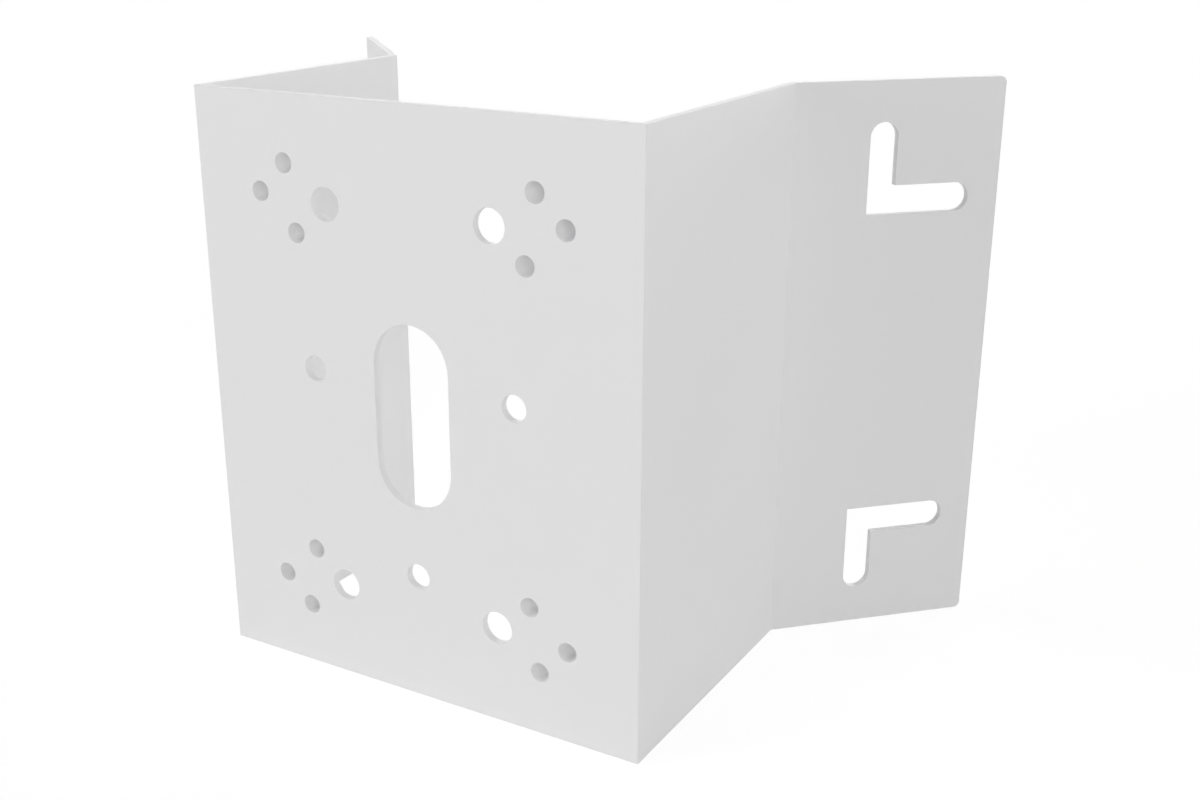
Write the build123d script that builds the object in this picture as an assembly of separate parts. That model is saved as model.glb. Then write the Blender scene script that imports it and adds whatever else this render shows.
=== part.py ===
from build123d import *
from math import cos, radians, sin
import os

# Corner mount bracket for a camera, in millimetres.
# It stands as it is mounted: its folds are upright, the camera plate faces -Y,
# and the outside corner of the building comes in between the flanges from +Y.
# The origin is at the middle of the footprint, level with the lower edges.

# Folded sheet: widths, depths and lengths are measured on its front face
sheet_thickness = 2.5
bracket_height = 180.0
plate_width = 150.0
wall_depth = 92.9
flange_length = 69.0
flange_angle = 45.0
fold_radius = 0.25
flange_corner_radius = 2.0

# Threaded holes of the plate: three rectangles of four about its centre
thread_diameter = 6.0
tall_pattern_x = 85.0
tall_pattern_z = 140.0
wide_pattern_x = 103.6
wide_pattern_z = 122.0
short_pattern_x = 78.4
short_pattern_z = 100.0

# Round boss behind each threaded hole
boss_diameter = 10.0
boss_length = 8.0
boss_chamfer = 0.5

# Plain screw holes of the plate, placed from its centre
large_hole_diameter = 10.0
large_pattern_x = 56.0
large_pattern_z = 119.0
middle_hole_diameter = 8.0
side_hole_spacing = 70.0
side_hole_rise = 9.5
lower_hole_drop = 50.0

# Cable opening at the plate's centre
cable_slot_width = 26.0
cable_slot_length = 56.0

# L-shaped wall screw slots, two in each flange: the elbow is square and both ends are round
wall_slot_width = 9.0
wall_slot_from_fold = 25.0
wall_slot_from_free_edge = 10.0
wall_slot_from_end = 12.5
upright_leg_length = 28.5

# Places that follow from the sizes
lean = radians(flange_angle)
overall_depth = wall_depth + flange_length * cos(lean) + sheet_thickness * sin(lean)
plate_y = -overall_depth / 2
fold_y = plate_y + wall_depth
free_edge_x = plate_width / 2 + flange_length * sin(lean)
free_edge_y = fold_y + flange_length * cos(lean)
middle_height = bracket_height / 2
cut_reach = 2 * sheet_thickness

# Faces that the holes are drawn on: X runs across the face and Y runs up
plate_front = Plane(
    origin=(0, plate_y, middle_height),
    x_dir=(1, 0, 0),
    z_dir=(0, -1, 0),
)
plate_back = plate_front.offset(-sheet_thickness)
right_flange_front = Plane(
    origin=(plate_width / 2, fold_y, middle_height),
    x_dir=(sin(lean), cos(lean), 0),
    z_dir=(cos(lean), -sin(lean), 0),
)


def sheet_section():
    """Hat-shaped section of the folded sheet, seen from above."""
    right_side = [(plate_width / 2, plate_y), (plate_width / 2, fold_y), (free_edge_x, free_edge_y)]
    left_side = [(-x, y) for x, y in reversed(right_side)]
    front_line = Polyline(*left_side, *right_side)
    section = make_face(
        offset(front_line, amount=sheet_thickness, kind=Kind.INTERSECTION, side=Side.LEFT)
    )
    fold_limit = plate_width / 2 + fold_radius
    fold_corners = section.vertices().filter_by_position(Axis.X, -fold_limit, fold_limit)
    return fillet(fold_corners, fold_radius)


def sheet_blank():
    """The folded sheet before any hole is cut, with rounded corners on both flanges."""
    blank = extrude(sheet_section(), amount=bracket_height)
    faces_across = blank.faces().sort_by(Axis.X)
    free_edges = [faces_across[0], faces_across[-1]]
    corners = [edge for face in free_edges for edge in face.edges().filter_by(Axis.Z, reverse=True)]
    return fillet(corners, flange_corner_radius)


def thread_locations():
    """Places of the threaded holes about the plate's centre."""
    return [
        *GridLocations(tall_pattern_x, tall_pattern_z, 2, 2),
        *GridLocations(wide_pattern_x, wide_pattern_z, 2, 2),
        *GridLocations(short_pattern_x, short_pattern_z, 2, 2),
    ]


def plate_openings():
    """Every hole of the camera plate, with the cable slot."""
    large_locations = GridLocations(large_pattern_x, large_pattern_z, 2, 2)
    middle_locations = [
        Pos(-side_hole_spacing / 2, side_hole_rise),
        Pos(side_hole_spacing / 2, side_hole_rise),
        Pos(0, -lower_hole_drop),
    ]
    threaded = [location * Circle(thread_diameter / 2) for location in thread_locations()]
    large = [location * Circle(large_hole_diameter / 2) for location in large_locations]
    middle = [location * Circle(middle_hole_diameter / 2) for location in middle_locations]
    cable_slot = SlotOverall(cable_slot_length, cable_slot_width, rotation=90)
    return [*threaded, *large, *middle, cable_slot]


def slot_leg(length):
    """One leg of a wall screw slot: square at the origin, along X to a round end."""
    straight = length - wall_slot_width / 2
    end = Pos(straight, wall_slot_width / 2) * Circle(wall_slot_width / 2)
    return Rectangle(straight, wall_slot_width, align=(Align.MIN, Align.MIN)) + end


def flange_openings():
    """The two L-shaped slots of a flange, one the mirror image of the other."""
    level_leg_length = flange_length - wall_slot_from_fold - wall_slot_from_free_edge
    elbow_rise = middle_height - wall_slot_from_end - upright_leg_length
    level_leg = slot_leg(level_leg_length)
    upright_leg = Pos(wall_slot_width, 0) * Rot(0, 0, 90) * slot_leg(upright_leg_length)
    upper_slot = Pos(wall_slot_from_fold, elbow_rise) * (level_leg + upright_leg)
    return [upper_slot, mirror(upper_slot, about=Plane.XZ)]


def cutters(face_plane, openings):
    """Solids that cut the drawn openings through the sheet at a face."""
    return [extrude(face_plane * opening, amount=cut_reach, both=True) for opening in openings]


def corner_bracket():
    """The folded sheet with all its holes and slots."""
    right_cutters = cutters(right_flange_front, flange_openings())
    left_cutters = [mirror(cutter, about=Plane.YZ) for cutter in right_cutters]
    plate_cutters = cutters(plate_front, plate_openings())
    return sheet_blank() - [*plate_cutters, *right_cutters, *left_cutters]


def threaded_boss():
    """One boss on its seat at the origin, bored through, with a bevelled free end at -Z."""
    ring = Circle(boss_diameter / 2) - Circle(thread_diameter / 2)
    boss = extrude(ring, amount=-boss_length)
    return chamfer(boss.edges().group_by(Axis.Z)[0], boss_chamfer)


def threaded_bosses():
    """All the bosses, seated on the back of the plate over the threaded holes."""
    return Compound([plate_back * location * threaded_boss() for location in thread_locations()])


os.makedirs("parts", exist_ok=True)
export_step(corner_bracket(), "parts/corner_bracket.step")
export_step(threaded_bosses(), "parts/threaded_bosses.step")
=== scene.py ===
import math

import bmesh
import bpy
from mathutils import Euler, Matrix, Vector

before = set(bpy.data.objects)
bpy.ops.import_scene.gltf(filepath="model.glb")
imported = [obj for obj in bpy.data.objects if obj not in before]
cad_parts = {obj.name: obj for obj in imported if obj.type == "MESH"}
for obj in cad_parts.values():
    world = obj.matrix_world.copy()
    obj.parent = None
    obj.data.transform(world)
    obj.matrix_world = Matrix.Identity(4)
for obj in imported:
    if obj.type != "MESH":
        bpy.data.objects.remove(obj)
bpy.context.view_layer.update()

MM = 0.001
WHITE = (1.0, 1.0, 1.0, 1.0)

# Camera: its place, turn and lens, and the pixel of the picture that it points at
PICTURE_WIDTH_PX = 1200
PICTURE_HEIGHT_PX = 800
CENTRE_X_PX = 583.0
CENTRE_Y_PX = 395.08
FOCAL_LENGTH_PX = 1474.04
SENSOR_WIDTH_MM = 36.0
CAMERA_PLACE = Vector((244.67, -389.40, 234.42)) * MM
CAMERA_TURN_DEG = 30.572
CAMERA_DIP_DEG = 19.007

# Powder coat: its colour and roughness drift a little over the sheet, and it has an orange peel
PAINT_COLOUR = (0.870, 0.866, 0.872)
COLOUR_DRIFT = 0.008
PAINT_ROUGHNESS = 0.58
ROUGHNESS_DRIFT = 0.08
PAINT_IOR = 1.5
PAINT_GLOSS = 0.3
DRIFT_NOISE = {"Scale": 28.0, "Detail": 3.0, "Roughness": 0.6}
PEEL_NOISE = {"Scale": 700.0, "Detail": 2.0, "Roughness": 0.45}
PEEL_STRENGTH = 0.35
PEEL_DEPTH = 0.05 * MM

# Edges and folds are softened where their two faces turn by more than the edge angle
EDGE_ANGLE_DEG = 40.0
FLAT_ANGLE_DEG = 0.5
EDGE_SOFTNESS = 0.12 * MM
EDGE_STEPS = 2
WELD_REACH = 0.001 * MM
LARGE_FACE_WEIGHT = 100

# Surroundings: how much they light the bracket, and how bright the camera sees them
AMBIENT = 0.1
BACKDROP_WHITE = 1.0

# Lamps: degrees from the front towards the right, degrees above the horizon, and strength
SOFT_LIGHTS = {
    "front_left": (-43.0, 8.0, 1.20),
    "front_right": (45.0, 10.0, 0.89),
    "right": (125.0, 10.0, 0.62),
    "back_right": (150.0, 10.0, 0.15),
    "back": (175.0, 10.0, 1.12),
    "back_left": (210.0, 10.0, 1.02),
    "overhead": (0.0, 85.0, 0.67),
    "right_high": (35.0, 45.0, 0.13),
    "left_high": (-60.0, 45.0, 0.29),
}
LIGHT_SOFTNESS_DEG = 35.0

# Floor: the lamps give one share of its look, which holds the shadow, and the rest is a plain
# white, so strong that both together come to white where no shadow falls
FLOOR_COLOUR = (0.92, 0.92, 0.92)
FLOOR_LIT_SHARE = 0.35
FLOOR_WHITE = 1.20
FLOOR_RADIUS = 12.0
FLOOR_SIDES = 96


class Socket:
    """A node's output that can be added and multiplied."""

    def __init__(self, tree, socket):
        self.tree = tree
        self.socket = socket

    def _math(self, operation, *values):
        return self.tree.node("ShaderNodeMath", {"operation": operation}, values)

    def __add__(self, other):
        return self._math("ADD", self, other)

    __radd__ = __add__

    def __mul__(self, other):
        return self._math("MULTIPLY", self, other)

    __rmul__ = __mul__


class Tree:
    """A material's or the world's nodes, emptied and ready to be built up."""

    def __init__(self, owner):
        owner.use_nodes = True
        self.tree = owner.node_tree
        self.tree.nodes.clear()

    def node(self, kind, settings=None, inputs=(), output=0):
        """Adds a node: its settings first, then the values or links of its sockets."""
        made = self.tree.nodes.new(kind)
        for name, value in (settings or {}).items():
            setattr(made, name, value)
        named = inputs.items() if isinstance(inputs, dict) else enumerate(inputs)
        for name, value in named:
            if isinstance(value, Socket):
                self.tree.links.new(value.socket, made.inputs[name])
            else:
                made.inputs[name].default_value = value
        return Socket(self, made.outputs[output]) if made.outputs else made


def powder_coat():
    """Semi-matt white powder coat, with the fine orange peel of a baked film."""
    material = bpy.data.materials.new("powder_coat")
    tree = Tree(material)
    place = tree.node("ShaderNodeTexCoord", output="Object")
    peel = tree.node("ShaderNodeTexNoise", inputs={"Vector": place, **PEEL_NOISE})
    drift = tree.node("ShaderNodeTexNoise", inputs={"Vector": place, **DRIFT_NOISE})
    normal = tree.node(
        "ShaderNodeBump",
        inputs={"Strength": PEEL_STRENGTH, "Distance": PEEL_DEPTH, "Height": peel},
    )
    deep = (*[channel * (1 - COLOUR_DRIFT) for channel in PAINT_COLOUR], 1.0)
    pale = (*[channel * (1 + COLOUR_DRIFT) for channel in PAINT_COLOUR], 1.0)
    colour = tree.node(
        "ShaderNodeMix",
        {"data_type": "RGBA"},
        {"Factor": drift, "A": deep, "B": pale},
        output="Result",
    )
    surface = tree.node(
        "ShaderNodeBsdfPrincipled",
        inputs={
            "Base Color": colour,
            "Roughness": PAINT_ROUGHNESS + drift * ROUGHNESS_DRIFT,
            "IOR": PAINT_IOR,
            "Specular IOR Level": PAINT_GLOSS,
            "Normal": normal,
        },
    )
    tree.node("ShaderNodeOutputMaterial", inputs={"Surface": surface})
    return material


def soften_edges(piece):
    """Takes the sharpness off every cut edge and fold, as blasting and a baked film do."""
    weld = piece.modifiers.new("weld", "WELD")
    weld.merge_threshold = WELD_REACH
    faces = piece.modifiers.new("faces", "DECIMATE")
    faces.decimate_type = "DISSOLVE"
    faces.angle_limit = math.radians(FLAT_ANGLE_DEG)
    soft = piece.modifiers.new("soft_edges", "BEVEL")
    soft.limit_method = "ANGLE"
    soft.angle_limit = math.radians(EDGE_ANGLE_DEG)
    soft.width = EDGE_SOFTNESS
    soft.segments = EDGE_STEPS
    soft.loop_slide = False
    soft.use_clamp_overlap = False
    shade = piece.modifiers.new("shade", "WEIGHTED_NORMAL")
    shade.weight = LARGE_FACE_WEIGHT
    shade.keep_sharp = False


def finish_metal():
    """Gives the folded sheet and its bosses their paint and soft edges."""
    paint = powder_coat()
    for node in ("corner_bracket", "threaded_bosses"):
        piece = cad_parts[node]
        piece.data.materials.clear()
        piece.data.materials.append(paint)
        soften_edges(piece)


def seen_directly(tree):
    """1 for rays that show the background: the camera's, and those in gloss and glass."""
    camera_ray = tree.node("ShaderNodeLightPath", output="Is Camera Ray")
    outputs = camera_ray.socket.node.outputs
    glossy_ray = Socket(tree, outputs["Is Glossy Ray"])
    transmission_ray = Socket(tree, outputs["Is Transmission Ray"])
    total = camera_ray + glossy_ray + transmission_ray
    total.socket.node.use_clamp = True
    return total


def pale_floor():
    """Matt white of the floor, lit for the most part from within so that it stays white."""
    material = bpy.data.materials.new("pale_floor")
    tree = Tree(material)
    lit = tree.node(
        "ShaderNodeBsdfDiffuse", inputs={"Color": (*FLOOR_COLOUR, 1.0), "Roughness": 0.0}
    )
    bright = tree.node("ShaderNodeEmission", inputs={"Color": WHITE, "Strength": FLOOR_WHITE})
    share = seen_directly(tree) * (1 - FLOOR_LIT_SHARE)
    surface = tree.node("ShaderNodeMixShader", inputs=(share, lit, bright))
    tree.node("ShaderNodeOutputMaterial", inputs={"Surface": surface})
    return material


def lay_floor():
    """Wide pale floor that keeps a faint shadow of the bracket."""
    mesh = bpy.data.meshes.new("floor")
    floor = bpy.data.objects.new("floor", mesh)
    bpy.context.scene.collection.objects.link(floor)
    shape = bmesh.new()
    bmesh.ops.create_circle(shape, cap_ends=True, segments=FLOOR_SIDES, radius=FLOOR_RADIUS)
    shape.to_mesh(mesh)
    shape.free()
    mesh.materials.append(pale_floor())


def light_room():
    """White surroundings that the camera sees, and that give a little even light."""
    world = bpy.data.worlds.new("studio")
    bpy.context.scene.world = world
    tree = Tree(world)
    strength = seen_directly(tree) * (BACKDROP_WHITE - AMBIENT) + AMBIENT
    surroundings = tree.node(
        "ShaderNodeBackground", inputs={"Color": WHITE, "Strength": strength}
    )
    tree.node("ShaderNodeOutputWorld", inputs={"Surface": surroundings})


def hang_lights():
    """Large soft lamps all round, each named for the side that it shines from."""
    for name, (side_deg, height_deg, strength) in SOFT_LIGHTS.items():
        light = bpy.data.lights.new(name, "SUN")
        light.angle = math.radians(LIGHT_SOFTNESS_DEG)
        light.energy = strength
        lamp = bpy.data.objects.new(name, light)
        bpy.context.scene.collection.objects.link(lamp)
        lamp.rotation_euler = Euler(
            (math.radians(90 - height_deg), 0.0, math.radians(side_deg))
        )


def place_camera():
    """Camera at the photograph's viewing angle, with its framing as a lens shift."""
    scene = bpy.context.scene
    lens = bpy.data.cameras.new("camera")
    lens.sensor_width = SENSOR_WIDTH_MM
    lens.lens = FOCAL_LENGTH_PX / PICTURE_WIDTH_PX * SENSOR_WIDTH_MM
    lens.shift_x = (PICTURE_WIDTH_PX / 2 - CENTRE_X_PX) / PICTURE_WIDTH_PX
    lens.shift_y = (CENTRE_Y_PX - PICTURE_HEIGHT_PX / 2) / PICTURE_WIDTH_PX
    camera = bpy.data.objects.new("camera", lens)
    scene.collection.objects.link(camera)
    camera.location = CAMERA_PLACE
    camera.rotation_euler = Euler(
        (math.radians(90 - CAMERA_DIP_DEG), 0.0, math.radians(CAMERA_TURN_DEG))
    )
    scene.camera = camera


bpy.context.scene.view_settings.view_transform = "Standard"
finish_metal()
lay_floor()
light_room()
hang_lights()
place_camera()
